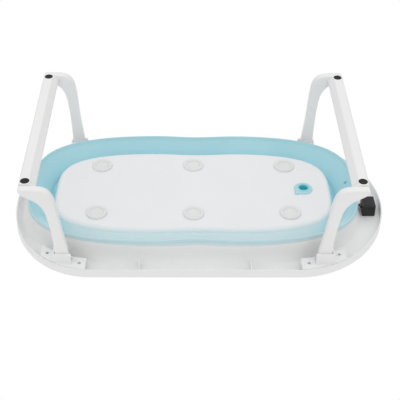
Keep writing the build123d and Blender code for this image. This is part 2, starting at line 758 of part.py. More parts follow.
case_body = layered([
    (CASE_BOTTOM, CASE_BOTTOM - CASE_TOP, RectangleRounded, CASE_SIZE, [CASE_SITE], Mode.ADD),
    # fixing flange on the -Y side
    (FLANGE_BOTTOM, FLANGE_BOTTOM - CASE_TOP, RectangleRounded, (24.0, 9.0, 3.0),
     [(CASE_X, -9.5)], Mode.ADD),
    # upright grip ribs on the -Y and +Y sides
    (CASE_BOTTOM - 0.6, 14.0, Rectangle, (1.3, 1.0), grip_sites, Mode.ADD),
    # inside, open at the top
    (CASE_BOTTOM - CASE_T, 30.0, Rectangle, (CASE_LENGTH - 2 * CASE_T, CASE_WIDTH - 2 * CASE_T),
     [CASE_SITE], Mode.SUBTRACT),
    # battery opening below
    (CASE_BOTTOM + 1.0, 4.0, RectangleRounded, (17.0, 28.0, 2.0), [CASE_SITE], Mode.SUBTRACT),
    # screw holes in the flange
    (6.0, 4.0, Circle, (1.3,), CASE_SCREW_SITES, Mode.SUBTRACT),
])
with BuildPart() as housing:
    add(case_body)
    # cable hole towards the basin
    with BuildSketch(Plane.YZ.offset(CASE_X0 - 2.0)):
        with Locations((CABLE_Y, z_at(CABLE_DEPTH))):
            Circle(CABLE_HOLE_R)
    extrude(amount=5.0, mode=Mode.SUBTRACT)
save(housing.part, "thermometer_housing")

# door plate and the ribs on its underside
save(layered([
    (29.2, 2.2, RectangleRounded, CASE_SIZE, [CASE_SITE], Mode.ADD),
    (30.4, 1.4, RectangleRounded, (1.6, CASE_WIDTH - 5.0, 0.7),
     [(CASE_X - 10.2 + 3.4 * i, CASE_Y) for i in range(7)], Mode.ADD),
]), "thermometer_battery_door")

# board, two blocks under it and the button's switch
save(layered([
    (12.6, 1.2, Rectangle, (CASE_LENGTH - 4.0, CASE_WIDTH - 4.0), [CASE_SITE], Mode.ADD),
    (13.8, 1.3, Rectangle, (5.0, 5.0), [(CASE_X - 5.0, 22.0)], Mode.ADD),
    (13.8, 1.3, Rectangle, (3.0, 2.0), [(CASE_X + 6.0, 23.0)], Mode.ADD),
    (11.5, 3.5, Rectangle, (6.0, 6.0), [BUTTON_SITE], Mode.ADD),
]), "thermometer_circuit_board")

# display and the two strips between it and the board
save(layered([
    (6.6, 2.6, Rectangle, (19.0, 22.5), [WINDOW_SITE], Mode.ADD),
    (11.3, 4.8, Rectangle, (17.0, 1.6),
     [(CASE_X, WINDOW_Y - 9.6), (CASE_X, WINDOW_Y + 9.6)], Mode.ADD),
]), "thermometer_lcd")

save(layered([
    (1.35, 1.3, RectangleRounded,
     (LEDGE_LENGTH - 2 * PANE_GAP, LEDGE_WIDTH - 2 * PANE_GAP, LEDGE_CORNER - PANE_GAP),
     [WINDOW_SITE], Mode.ADD),
]), "thermometer_window")

# button, its flange under the deck and its stem
save(layered([
    (DECK_T + 0.3, DECK_T + 0.3, Circle, (3.45,), [BUTTON_SITE], Mode.ADD),
    (DECK_T + 1.5, 1.2, Circle, (4.2,), [BUTTON_SITE], Mode.ADD),
    (6.6, 2.4, Circle, (1.6,), [BUTTON_SITE], Mode.ADD),
]), "thermometer_button")

save(layered([
    (24.0, 5.4, Circle, (5.8,), [(CASE_X, CASE_Y - 6.6), (CASE_X, CASE_Y + 6.6)], Mode.ADD),
]), "thermometer_button_cells")

# contact strip and its two upright tongues
save(layered([
    (18.4, 0.3, Rectangle, (5.0, 22.0), [CASE_SITE], Mode.ADD),
    (18.2, 4.0, Rectangle, (3.0, 0.8),
     [(CASE_X, CASE_Y - 10.4), (CASE_X, CASE_Y + 10.4)], Mode.ADD),
]), "thermometer_battery_contact")

# heads and shanks
save(layered([
    (6.8, 1.5, Circle, (2.1,), CASE_SCREW_SITES, Mode.ADD),
    (5.5, 4.2, Circle, (0.98,), CASE_SCREW_SITES, Mode.ADD),
]), "thermometer_screws")


# --- probe lead and temperature probe -----------------------------------------
CABLE_R = 1.3
CABLE_PATH = [            # x from the case's basin side, y, depth
    (3.0, CABLE_Y, CABLE_DEPTH), (-3.0, 21.0, 21.5), (-8.0, 27.0, 30.0),
    (-11.5, 36.0, 40.0), (-14.3, 44.0, 44.5),
]
CABLE_TANGENTS = [(-1, 0, 0), (-1, 1.2, -0.1)]
PROBE_X, PROBE_Y, PROBE_DEPTH = 326.6, -31.0, 51.0
PROBE_NORMAL = (-0.76, 0, -0.65)
PROBE_LIFT = 0.25
PROBE_R, PROBE_T, PROBE_EDGE_R = 3.4, 1.6, 0.9

with BuildPart() as probe_cable:
    with BuildLine() as path:
        Spline(
            *[(CASE_X0 + x, y, z_at(depth)) for x, y, depth in CABLE_PATH],
            tangents=CABLE_TANGENTS,
        )
    with BuildSketch(Plane(origin=path.line @ 0, z_dir=path.line % 0)):
        Circle(CABLE_R)
    sweep(path=path.line)
save(probe_cable.part, "probe_cable")

# the probe is tilted to lie along the sloping band of the soft wall
slope = Plane(
    origin=(PROBE_X, PROBE_Y, z_at(PROBE_DEPTH)), x_dir=(0, 1, 0), z_dir=PROBE_NORMAL
)
with BuildPart() as temperature_probe:
    with BuildSketch(slope.offset(PROBE_LIFT)):
        Circle(PROBE_R)
    extrude(amount=PROBE_T)
    fillet(temperature_probe.faces().sort_by(Axis.Z)[0].edges(), PROBE_EDGE_R)
save(temperature_probe.part, "temperature_probe")
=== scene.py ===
# A collapsible bath: a rim on four folding legs, a soft folding wall, a base pan with a drain, and
# a thermometer in the +X end of the rim. X runs along the bath, Y across it, Z up; the floor is at
# Z = 0. The wall is folded up and the camera looks from below, from the +Y side.
# Shapes are laid out in millimetres and scaled to metres when a mesh is made. A "depth" is
# measured down from the rim's top face.
import math
import bmesh
import bpy
import numpy as np
from mathutils import Matrix, Vector

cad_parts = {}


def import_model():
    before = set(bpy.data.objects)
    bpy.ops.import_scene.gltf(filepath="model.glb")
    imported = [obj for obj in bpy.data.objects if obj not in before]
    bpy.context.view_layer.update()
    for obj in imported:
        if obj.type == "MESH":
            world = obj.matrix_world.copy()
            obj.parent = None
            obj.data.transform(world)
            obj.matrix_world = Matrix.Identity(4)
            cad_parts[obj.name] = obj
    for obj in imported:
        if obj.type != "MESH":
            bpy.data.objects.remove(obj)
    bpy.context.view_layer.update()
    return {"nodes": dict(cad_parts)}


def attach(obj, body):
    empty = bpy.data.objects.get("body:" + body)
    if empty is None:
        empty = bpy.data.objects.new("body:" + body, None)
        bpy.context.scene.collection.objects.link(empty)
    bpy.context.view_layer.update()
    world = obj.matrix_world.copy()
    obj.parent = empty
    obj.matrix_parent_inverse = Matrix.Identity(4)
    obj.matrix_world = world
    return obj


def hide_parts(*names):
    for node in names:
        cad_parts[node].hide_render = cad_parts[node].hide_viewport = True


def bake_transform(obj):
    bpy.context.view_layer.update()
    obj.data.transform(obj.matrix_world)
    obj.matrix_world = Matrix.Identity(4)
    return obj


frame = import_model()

MM = 0.001
TOP_Z = 224.0  # height of the rim's top face
CENTRE_X = -14.0  # middle of the basin and of the legs
DRAIN_X = 229.0
WINDOW_X, WINDOW_Y = 375.0, 6.0  # thermometer window

RIM_COUNT, PAN_COUNT = 384, 320  # points around the rim, and around the soft wall and base pan


# ------------------------------------------------------------------ outlines
def resample(points, count):
    """Evenly spaced points along a closed outline."""
    loop = np.vstack([points, points[:1]])
    steps = np.hypot(*(loop[1:] - loop[:-1]).T)
    run = np.concatenate([[0], np.cumsum(steps)])
    at = np.linspace(0, run[-1], count, endpoint=False)
    return np.stack([np.interp(at, run, loop[:, 0]), np.interp(at, run, loop[:, 1])], 1)


def inset(points, distance):
    """Closed anticlockwise outline moved inwards (outwards if negative)."""
    along = np.roll(points, -1, 0) - np.roll(points, 1, 0)
    along /= np.maximum(np.hypot(along[:, 0], along[:, 1]), 1e-9)[:, None]
    return points + np.stack([-along[:, 1], along[:, 0]], 1) * distance


def quarter(length, width, roundness, count=400):
    """Quarter superellipse from +X to +Y, without its last point; finer near +Y."""
    angle = (np.pi / 2) * (1 - (1 - np.linspace(0, 1, count, endpoint=False)) ** 1.6)
    power = 2 / roundness
    return np.stack([length * np.cos(angle) ** power, width * np.sin(angle) ** power], 1)


def mirrored(right, left):
    """Whole outline from its +X quarter and its -X quarter, both given as +X quarters."""
    upper = np.vstack([right, left[::-1] * [-1, 1]])
    return np.vstack([upper, upper[-2:0:-1] * [1, -1]])


def basin(half_width, left, right, roundness, waist, count):
    """Basin outline; left and right are the reach from CENTRE_X towards -X and +X."""
    waist_x, waist_spread = 8.0, 62.0
    end = np.vstack([quarter(right, half_width, roundness), [[0.0, half_width]]])
    points = resample(mirrored(end, quarter(left, half_width, roundness)), 2400)
    dip = np.exp(-(((points[:, 0] - waist_x) / waist_spread) ** 2))
    narrowing = 1.0 - waist / half_width * dip
    return resample(np.stack([points[:, 0] + CENTRE_X, points[:, 1] * narrowing], 1), count)


def pan_loop(half_width, half_length, roundness, waist):
    return basin(half_width, half_length, half_length, roundness, waist, PAN_COUNT)


def rim_outline():
    half_length, half_width = 405.0, 231.0

    def end(straight, roundness):
        curve = quarter(half_length - straight, half_width, roundness) + [straight, 0.0]
        return np.vstack([curve, [[straight, half_width]]])

    loop = mirrored(end(202.0, 1.95), end(222.0, 2.10))
    return resample(resample(loop, 3200), RIM_COUNT)


# foot of the rim's inner wall, where the soft wall starts
WALL_HALF_WIDTH, WALL_HALF_LENGTH, WALL_ROUNDNESS, WALL_WAIST = 190.5, 360.0, 3.0, 5.0
WALL_DEPTH = 50.0


def wall(depth):
    """Outside of the rim's inner wall: steep low down, flaring into the deck."""
    up = 1.0 - depth / WALL_DEPTH
    return basin(
        WALL_HALF_WIDTH + 16.0 * up ** 4,
        WALL_HALF_LENGTH + 25.0 * up ** 2,
        WALL_HALF_LENGTH + 14.0 * up ** 2,
        WALL_ROUNDNESS - 0.4 * up ** 1.5,
        WALL_WAIST * depth / WALL_DEPTH,
        RIM_COUNT,
    )


def catmull(points, per):
    """Smooth open curve through points (centripetal Catmull-Rom), per steps to a span."""
    p = np.array(points, float)
    p = np.vstack([2 * p[0] - p[1], p, 2 * p[-1] - p[-2]])

    def between(t, ta, a, tb, b):
        return (tb - t) / (tb - ta) * a + (t - ta) / (tb - ta) * b

    out = []
    for p0, p1, p2, p3 in zip(p, p[1:], p[2:], p[3:]):
        knots = [0.0]
        for a, b in ((p0, p1), (p1, p2), (p2, p3)):
            knots.append(knots[-1] + max(np.linalg.norm(b - a), 1e-6) ** 0.5)
        t0, t1, t2, t3 = knots
        for t in np.linspace(t1, t2, per, endpoint=False):
            a1 = between(t, t0, p0, t1, p1)
            a2 = between(t, t1, p1, t2, p2)
            a3 = between(t, t2, p2, t3, p3)
            b1 = between(t, t0, a1, t2, a2)
            b2 = between(t, t1, a2, t3, a3)
            out.append(between(t, t1, b1, t2, b2))
    out.append(p[-2])
    return np.array(out)


def rounded_rect(cx, cy, width, height, radius, steps=6):
    points = []
    for sx, sy, start in ((1, 1, 0), (-1, 1, 90), (-1, -1, 180), (1, -1, 270)):
        ox, oy = cx + sx * (width / 2 - radius), cy + sy * (height / 2 - radius)
        for i in range(steps + 1):
            angle = math.radians(start + 90 * i / steps)
            points.append((ox + radius * math.cos(angle), oy + radius * math.sin(angle)))
    return np.array(points)


def circle(cx, cy, radius, segments):
    """Circle; radius may also be an array with one value for each segment."""
    angle = np.linspace(0, 2 * np.pi, segments, endpoint=False)
    return np.stack([cx + radius * np.cos(angle), cy + radius * np.sin(angle)], 1)


# ------------------------------------------------------------------- meshes
# Shapes are passed around as (vertices, faces) until make() turns them into an object.
def shade(ob, angle):
    """Smooth shading, with edges sharper than angle (degrees) kept as creases."""
    mesh = ob.data
    mesh.polygons.foreach_set("use_smooth", [True] * len(mesh.polygons))
    bm = bmesh.new()
    bm.from_mesh(mesh)
    limit = math.radians(angle)
    for edge in bm.edges:
        edge.smooth = len(edge.link_faces) == 2 and edge.calc_face_angle(0.0) < limit
    bm.to_mesh(mesh)
    bm.free()
    mesh.update()


def make(name, verts, faces, angle=40.0, merge=True):
    mesh = bpy.data.meshes.new(name)
    mesh.from_pydata([tuple(v) for v in np.asarray(verts, float) * MM], [], faces)
    mesh.update()
    bm = bmesh.new()
    bm.from_mesh(mesh)
    if merge:
        bmesh.ops.remove_doubles(bm, verts=bm.verts, dist=1e-6)
    bmesh.ops.recalc_face_normals(bm, faces=bm.faces)
    bm.to_mesh(mesh)
    bm.free()
    ob = bpy.data.objects.new(name, mesh)
    bpy.context.scene.collection.objects.link(ob)
    shade(ob, angle)
    return ob


def cut(ob, shapes, operation="DIFFERENCE", angle=40.0):
    """Apply an exact boolean with each shape in turn."""
    cutters = [make("cutter", *shape) for shape in shapes]
    for cutter in cutters:
        modifier = ob.modifiers.new("cut", "BOOLEAN")
        modifier.operation = operation
        modifier.solver = "EXACT"
        modifier.object = cutter
        graph = bpy.context.evaluated_depsgraph_get()
        mesh = bpy.data.meshes.new_from_object(ob.evaluated_get(graph), depsgraph=graph)
        ob.modifiers.clear()
        old = ob.data
        ob.data = mesh
        bpy.data.meshes.remove(old)
        bpy.data.objects.remove(cutter)
    ob.data.name = ob.name
    shade(ob, angle)
    return ob


def levels(stations):
    """3D loops from (outline, depth) stations."""
    return [np.column_stack([p, np.full(len(p), TOP_Z - depth)]) for p, depth in stations]


def loft(rings, close=True):
    """Quads between matching closed loops; close joins the last loop to the first."""
    n, count = len(rings[0]), len(rings)
    faces = []
    for s in range(count if close else count - 1):
        a, b = s * n, ((s + 1) % count) * n
        for i in range(n):
            j = (i + 1) % n
            faces.append((a + i, a + j, b + j, b + i))
    return np.vstack(rings), faces


def rounded_edge(radius, steps):
    """(inset, rise) pairs of a quarter-round edge, from the flat face to the side."""
    if radius == 0:
        return [(0.0, 0.0)]
    angles = [math.pi / 2 * i / steps for i in range(steps + 1)]
    return [(radius * (1 - math.sin(a)), radius * (1 - math.cos(a))) for a in angles]


def block(outline, low, high, rounding=0.0, axis="Z", steps=4, high_rounding=None):
    """Outline extruded along Z or Y with rounded edges and flat caps."""
    if high_rounding is None:
        high_rounding = rounding
    stations = [(inset(outline, t), low + rise) for t, rise in rounded_edge(rounding, steps)]
    stations += [(inset(outline, t), high - rise)
                 for t, rise in reversed(rounded_edge(high_rounding, steps))]
    order = [0, 1, 2] if axis == "Z" else [0, 2, 1]
    rings = [np.column_stack([p, np.full(len(p), h)])[:, order] for p, h in stations]
    verts, faces = loft(rings, close=False)
    n = len(outline)
    faces.append(tuple(range(n))[::-1])
    faces.append(tuple(range(len(verts) - n, len(verts))))
    return verts, faces


def joined(shapes):
    verts, faces, offset = [], [], 0
    for v, f in shapes:
        verts.append(np.asarray(v, float))
        faces += [tuple(i + offset for i in face) for face in f]
        offset += len(v)
    return np.vstack(verts), faces


def raised(profile):
    """(radius, depth) profile as (radius, z)."""
    return [(radius, TOP_Z - depth) for radius, depth in profile]


def lathe(profile, cx, cy, segments):
    """(radius, z) profile turned about a vertical axis; radius 0 makes a pole."""
    verts, rows = [], []
    for radius, z in profile:
        first = len(verts)
        if radius < 1e-6:
            verts.append((cx, cy, z))
            rows.append([first] * segments)
            continue
        for s in range(segments):
            angle = 2 * math.pi * s / segments
            verts.append((cx + radius * math.cos(angle), cy + radius * math.sin(angle), z))
        rows.append(list(range(first, first + segments)))
    faces = []
    for a, b in zip(rows[:-1], rows[1:]):
        for s in range(segments):
            t = (s + 1) % segments
            corners = tuple(dict.fromkeys((a[s], a[t], b[t], b[s])))
            if len(corners) > 2:
                faces.append(corners)
    return np.array(verts), faces


# ---------------------------------------------------------------- materials
class Shader:
    """Short calls for building a procedural node tree."""

    def __init__(self, tree):
        self.tree = tree
        self.principled = tree.nodes.get("Principled BSDF")
        self.coords = self.node("TexCoord").outputs

    def node(self, kind, inputs=None, **props):
        made = self.tree.nodes.new("ShaderNode" + kind)
        for key, value in props.items():
            setattr(made, key, value)
        for key, value in (inputs or {}).items():
            self.put(made.inputs[key], value)
        return made

    def put(self, socket, value):
        if hasattr(value, "is_output"):
            self.tree.links.new(value, socket)
        elif isinstance(value, tuple) and len(value) == 3 and socket.type == "RGBA":
            socket.default_value = (*value, 1.0)
        else:
            socket.default_value = value

    def noise(self, scale, detail=2.0, rough=0.5, stretch=None):
        vector = self.coords["Object"]
        if stretch:
            vector = self.node("Mapping", {"Scale": stretch, "Vector": vector}).outputs["Vector"]
        inputs = {"Scale": scale, "Detail": detail, "Roughness": rough, "Vector": vector}
        return self.node("TexNoise", inputs).outputs["Fac"]

    def span(self, value, source, target=(0.0, 1.0), smooth=True):
        """Map the source range onto the target range."""
        inputs = {"Value": value, "From Min": source[0], "From Max": source[1],
                  "To Min": target[0], "To Max": target[1]}
        kind = "SMOOTHSTEP" if smooth else "LINEAR"
        return self.node("MapRange", inputs, interpolation_type=kind).outputs["Result"]

    def patches(self, scale, detail=2.0, rough=0.5, target=(0.0, 1.0)):
        """Noise with its middle values spread over the target range."""
        return self.span(self.noise(scale, detail, rough), source=(0.3, 0.7), target=target)

    def math(self, operation, a, b=None):
        inputs = {0: a} if b is None else {0: a, 1: b}
        return self.node("Math", inputs, operation=operation).outputs[0]

    def mix(self, factor, a, b, blend="MIX"):
        inputs = {0: factor, 6: a, 7: b}
        return self.node("Mix", inputs, data_type="RGBA", blend_type=blend).outputs[2]

    def mix_shader(self, factor, a, b):
        return self.node("MixShader", {0: factor, 1: a.outputs[0], 2: b.outputs[0]}).outputs[0]

    def split(self, vector=None):
        """X, Y and Z of a vector, the object coordinates unless given."""
        return self.node("SeparateXYZ", {0: vector or self.coords["Object"]}).outputs

    def bump(self, height, strength, distance, normal=None):
        inputs = {"Strength": strength, "Distance": distance, "Height": height}
        if normal is not None:
            inputs["Normal"] = normal
        return self.node("Bump", inputs).outputs["Normal"]

    def set(self, **values):
        for key, value in values.items():
            self.put(self.principled.inputs[key.replace("_", " ")], value)


MATERIALS = {}


def material(name):
    made = bpy.data.materials.new(name)
    made.use_nodes = True
    MATERIALS[name] = made
    return Shader(made.node_tree)


def moulded(name, color_a, color_b, rough=0.42, grain=1500.0, depth=4e-5, spec=0.4,
            tint=None, scatter=None):
    """Moulded plastic or rubber drifting between two near colours, with uneven gloss.

    grain and depth are the fine texture's scale and height in metres."""
    s = material(name)
    color = s.mix(s.patches(scale=9.0, detail=3.0, rough=0.55), color_a, color_b)
    specks = s.noise(scale=grain * 0.55, detail=1.0)
    specks = s.span(specks, source=(0.35, 0.65), target=(0.985, 1.0))
    color = s.mix(1.0, color, specks, blend="MULTIPLY")
    if tint:
        color = tint(s, color)
    gloss = s.patches(scale=60.0, detail=4.0, rough=0.6, target=(rough - 0.05, rough + 0.06))
    fine = s.bump(s.noise(scale=grain, rough=0.6), strength=0.35, distance=depth)
    waves = s.bump(s.noise(scale=26.0), strength=0.25, distance=0.00025, normal=fine)
    s.set(Base_Color=color, Roughness=gloss, Normal=waves, Specular_IOR_Level=spec)
    if scatter:
        s.set(**{"Subsurface_" + key: value for key, value in scatter.items()})


def steel(name, color_a, color_b, rough, stretch=(1.0, 1.0, 30.0)):
    """Metal with streaks drawn out by the stretch."""
    s = material(name)
    streak = s.noise(scale=180.0, detail=4.0, rough=0.65, stretch=stretch)
    s.set(
        Base_Color=s.mix(streak, color_a, color_b),
        Roughness=s.span(streak, source=(0.25, 0.75), target=(rough - 0.08, rough + 0.1)),
        Normal=s.bump(streak, strength=0.25, distance=3e-5),
        Metallic=1.0,
    )


def depth_range(start, end):
    """Two depths as object heights in metres."""
    return (TOP_Z - start) * MM, (TOP_Z - end) * MM


def wall_tint(s, color):
    """Painted-in shade, not a property of the rubber: paler along the +Y long side."""
    side = s.span(s.split()[1], source=(0.055, 0.150))
    z = s.split()[2]
    low = s.span(z, source=depth_range(12.0, 22.0))
    crest = s.span(z, source=depth_range(50.0, 60.0), target=(1.0, 0.42))
    amount = s.math("MULTIPLY", side, s.math("MULTIPLY", low, crest))
    return s.mix(amount, color, (0.77, 0.872, 0.890))


def pan_edge_painted_reflection(s, color):
    """Painted reflection of the blue wall: pale blue towards the pan's turned-up edge."""
    edge = s.span(s.split()[2], source=depth_range(54.4, 43.5), smooth=False)
    return s.mix(edge, color, (0.74, 0.85, 0.87))


def stem_painted_shade(s, color):
    """Painted shade inside the hollow stem: deep, saturated blue from the stem's lower end upwards.
    """
    deep = s.span(s.split()[2], source=depth_range(58.8, 54.0))
    return s.mix(deep, color, (0.032, 0.50, 0.58))


moulded("white_shell", (0.905, 0.905, 0.903), (0.888, 0.889, 0.890),
        rough=0.36, grain=1100.0, depth=3e-5)
moulded("white_moulding", (0.895, 0.896, 0.896), (0.878, 0.88, 0.881), rough=0.46)
moulded("white_leg", (0.904, 0.902, 0.899), (0.888, 0.886, 0.884),
        rough=0.34, grain=1000.0, depth=3e-5)
moulded("soft_blue", (0.458, 0.748, 0.815), (0.430, 0.722, 0.792),
        rough=0.5, grain=900.0, depth=5e-5, tint=wall_tint,
        scatter=dict(Weight=0.12, Radius=(0.35, 0.8, 1.0), Scale=0.003))
# the base pan's edge carries a painted reflection of the blue wall
moulded("white_base", (0.862, 0.870, 0.882), (0.845, 0.855, 0.868),
        rough=0.52, grain=700.0, depth=6e-5, tint=pan_edge_painted_reflection)
moulded("soft_white", (0.80, 0.806, 0.80), (0.78, 0.788, 0.782),
        rough=0.55, grain=900.0, depth=5e-5,
        scatter=dict(Weight=0.1, Radius=(0.9, 1.0, 0.9), Scale=0.002))
moulded("drain_blue", (0.47, 0.74, 0.80), (0.44, 0.71, 0.77), rough=0.45, grain=900.0,
        scatter=dict(Weight=0.15, Radius=(0.3, 0.8, 1.0), Scale=0.002))
# the plug's hollow stem carries painted shade
moulded("plug_blue", (0.22, 0.58, 0.66), (0.20, 0.55, 0.63), grain=900.0, tint=stem_painted_shade,
        scatter=dict(Weight=0.1, Radius=(0.3, 0.8, 1.0), Scale=0.002))
moulded("foot_black", (0.014, 0.014, 0.015), (0.009, 0.009, 0.010),
        rough=0.62, grain=800.0, depth=8e-5, spec=0.35)
moulded("black_plastic", (0.018, 0.018, 0.020), (0.012, 0.012, 0.014),
        rough=0.38, grain=1200.0, depth=6e-5, spec=0.5)
moulded("cable_black", (0.016, 0.016, 0.017), (0.010, 0.010, 0.011),
        rough=0.4, grain=900.0, depth=3e-5)
moulded("button_grey", (0.35, 0.37, 0.39), (0.32, 0.34, 0.36),
        rough=0.55, grain=900.0, depth=5e-5)
moulded("probe_grey", (0.30, 0.56, 0.62), (0.27, 0.53, 0.59), rough=0.4, grain=900.0)
steel("screw_steel", (0.62, 0.62, 0.63), (0.50, 0.50, 0.51), rough=0.34)
steel("pin_steel", (0.66, 0.66, 0.67), (0.54, 0.54, 0.55), rough=0.28, stretch=(1.0, 40.0, 1.0))
steel("cell_steel", (0.72, 0.72, 0.72), (0.60, 0.60, 0.60), rough=0.25)
steel("contact_brass", (0.80, 0.62, 0.30), (0.66, 0.50, 0.24), rough=0.3)


def board_green():
    """Circuit board with brick-pattern traces."""
    s = material("board_green")
    inputs = {"Scale": 260.0, "Mortar Size": 0.06, "Vector": s.coords["Object"]}
    trace = s.node("TexBrick", inputs).outputs["Fac"]
    color = s.mix(s.span(trace, source=(0.2, 0.8)), (0.010, 0.090, 0.035), (0.030, 0.160, 0.060))
    dark = s.span(s.noise(scale=40.0), source=(0.4, 0.7), target=(0.0, 0.35))
    s.set(
        Base_Color=s.mix(dark, color, (0.008, 0.075, 0.030)),
        Roughness=s.patches(scale=90.0, target=(0.28, 0.42)),
        Normal=s.bump(trace, strength=0.4, distance=5e-5),
    )


def display():
    """Grey-green display face with a fine checker."""
    s = material("display")
    color = s.mix(s.patches(scale=30.0, detail=3.0), (0.36, 0.42, 0.33), (0.32, 0.385, 0.305))
    checker = s.node("TexChecker", {"Scale": 2600.0, "Vector": s.coords["Object"]})
    faint = s.math("MULTIPLY", checker.outputs["Fac"], 0.06)
    s.set(
        Base_Color=s.mix(faint, color, (0.2, 0.24, 0.19)),
        Roughness=s.patches(scale=70.0, target=(0.12, 0.2)),
        Normal=s.bump(s.noise(scale=500.0), strength=0.1, distance=1e-5),
    )


def clear_window():
    s = material("clear_window")
    s.set(
        Base_Color=s.mix(s.noise(scale=40.0), (0.93, 0.95, 0.95), (0.90, 0.93, 0.94)),
        Roughness=s.patches(scale=120.0, detail=3.0, target=(0.02, 0.07)),
        Normal=s.bump(s.noise(scale=300.0), strength=0.05, distance=1e-5),
        Transmission_Weight=1.0,
        IOR=1.46,
    )


board_green()
display()
moulded("display_ink", (0.018, 0.020, 0.022), (0.012, 0.014, 0.016),
        rough=0.3, grain=900.0, depth=1e-5)
clear_window()


def fit(ob, slot, look=None, ride=None, replaces=None):
    ob.data.materials.clear()
    ob.data.materials.append(MATERIALS[look or slot])
    if ride:
        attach(ob, ride)
    if replaces:
        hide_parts(replaces)


# ---------------------------------------------------------------- rim frame
# (inset from the rim outline, depth)
SKIRT_OUTSIDE = [(0.0, 21.2), (0.0, 16.0), (0.0, 10.0), (0.0, 4.2), (0.18, 2.9), (0.8, 1.75),
                 (1.9, 1.05), (3.4, 0.72)]
SKIRT_INSIDE = [(6.0, 3.15), (4.6, 3.3), (3.5, 3.9), (2.9, 5.2), (2.7, 8.0), (2.6, 14.0),
                (2.6, 21.3), (2.2, 21.9), (1.3, 22.0), (0.4, 21.85)]
# (depth the wall outline is taken at, inset from it, depth): down the basin side, up the outside
WALL_STATIONS = [
    (0.0, -3.0, 0.02), (0.0, -0.6, 0.12), (0.4, 0.9, 0.55), (1.4, 1.9, 1.5), (3.2, 2.5, 3.2),
    *((d, 2.8, d) for d in (5.5, 8.5, 12.0, 17.0, 24.0, 33.0, 42.0, 48.6)),
    (50.0, 2.3, 49.7), (50.0, 0.5, 49.7),
    *((d, 0.0, d) for d in (48.8, 42.0, 35.0, 28.0, 22.0, 17.0, 13.0, 10.0, 7.6, 5.8)),
    (4.8, -0.5, 4.6), (4.4, -1.6, 3.7), (4.0, -3.6, 3.15),
]
RIB_XS, RIB_HALF_THICKNESS = (-126.0, 104.0), 1.0
# (distance from the X axis, depth): from the skirt to the foot of the inner wall
RIB_PROFILE = [(230.0, 2.0), (230.0, 20.6), (227.4, 21.4), (204.5, 21.4), (196.5, 19.0),
               (196.5, 2.0)]
# screw bosses: (x from CENTRE_X, distance from the X axis), then (radius, depth)
BOSSES = [(-304.0, 178.0), (-235.0, 209.0), (303.0, 182.0), (238.0, 209.0)]
BOSS_PROFILE = [(0.0, 2.0), (4.7, 2.0), (4.5, 9.5), (4.2, 9.8), (0.0, 9.8)]


def rim_stations():
    outline = rim_outline()
    stations = [(inset(outline, t), depth) for t, depth in SKIRT_OUTSIDE]
    # the deck rises gently from the skirt's edge to the basin's lip
    edge, edge_depth = stations[-1]
    lip = inset(wall(0.0), WALL_STATIONS[0][1])
    for i in range(1, 8):
        t = i / 8
        depth = edge_depth - edge_depth * math.sin(math.pi / 2 * min(1, 1.6 * t))
        stations.append((edge * (1 - t) + lip * t, depth))
    stations += [(inset(wall(source), t), depth) for source, t, depth in WALL_STATIONS]
    return stations + [(inset(outline, t), depth) for t, depth in SKIRT_INSIDE]


def rib(x, side):
    verts = [(x + dx, side * y, TOP_Z - depth)
             for dx in (-RIB_HALF_THICKNESS, RIB_HALF_THICKNESS) for y, depth in RIB_PROFILE]
    n = len(RIB_PROFILE)
    faces = [tuple(range(n)), tuple(range(2 * n - 1, n - 1, -1))]
    faces += [(i, (i + 1) % n, (i + 1) % n + n, i + n) for i in range(n)]
    return np.array(verts), faces


def rim():
    ob = make("rim_shell", *loft(levels(rim_stations())))
    extras = [rib(x, side) for x in RIB_XS for side in (-1, 1)]
    extras += [lathe(raised(BOSS_PROFILE), CENTRE_X + x, side * y, 28)
               for x, y in BOSSES for side in (-1, 1)]
    cut(ob, [joined(extras)], "UNION")
    # window recess, button hole, window opening
    recess = rounded_rect(WINDOW_X, WINDOW_Y, 20.0, 26.0, 3.0)
    opening = rounded_rect(WINDOW_X, WINDOW_Y, 16.0, 22.0, 2.0)
    return cut(ob, [
        block(recess, TOP_Z - 1.4, TOP_Z + 2.0),
        block(circle(WINDOW_X, 25.0, 3.6, 40), TOP_Z - 8.0, TOP_Z + 2.0),
        block(opening, TOP_Z - 8.0, TOP_Z + 3.0),
    ], angle=38.0)


fit(rim(), "white_shell", ride="rim", replaces="rim_frame")


# ---------------------------------------------------------- soft folding wall
DROP = 130.0  # travel of the base when the wall is pulled out
SKIN = 2.0  # wall thickness
CREST_DEPTH, VALLEY_DEPTH = 61.5, 20.0  # where the outer fold starts and the inner one ends
BEND_STEPS = 11
FLAT_START, FLAT_END = 0.13, 0.90  # straight part of the side, as shares of crest to valley
FOOT_START = 0.2  # straight part of the foot, as a share of valley to base
# the patch under the temperature probe is given the probe's share of the base's travel
PROBE = np.array([326.6, -31.0, TOP_Z - 51.0])
PROBE_RADIUS, PROBE_FADE, PROBE_WEIGHT = 5.0, 11.5, 0.343


def bend(start, control, end, extended):
    """Quadratic bend between (outline, depth) stations, without its ends.

    Adds the extended depth, which runs evenly between the two given."""
    first, last = extended
    stations = []
    for i in range(1, BEND_STEPS):
        t = i / BEND_STEPS
        weights = (1 - t) ** 2, 2 * t * (1 - t), t * t
        outline, depth = (sum(w * part for w, part in zip(weights, parts))
                          for parts in zip(start, control, end))
        stations.append((outline, depth, first + (last - first) * t))
    return stations


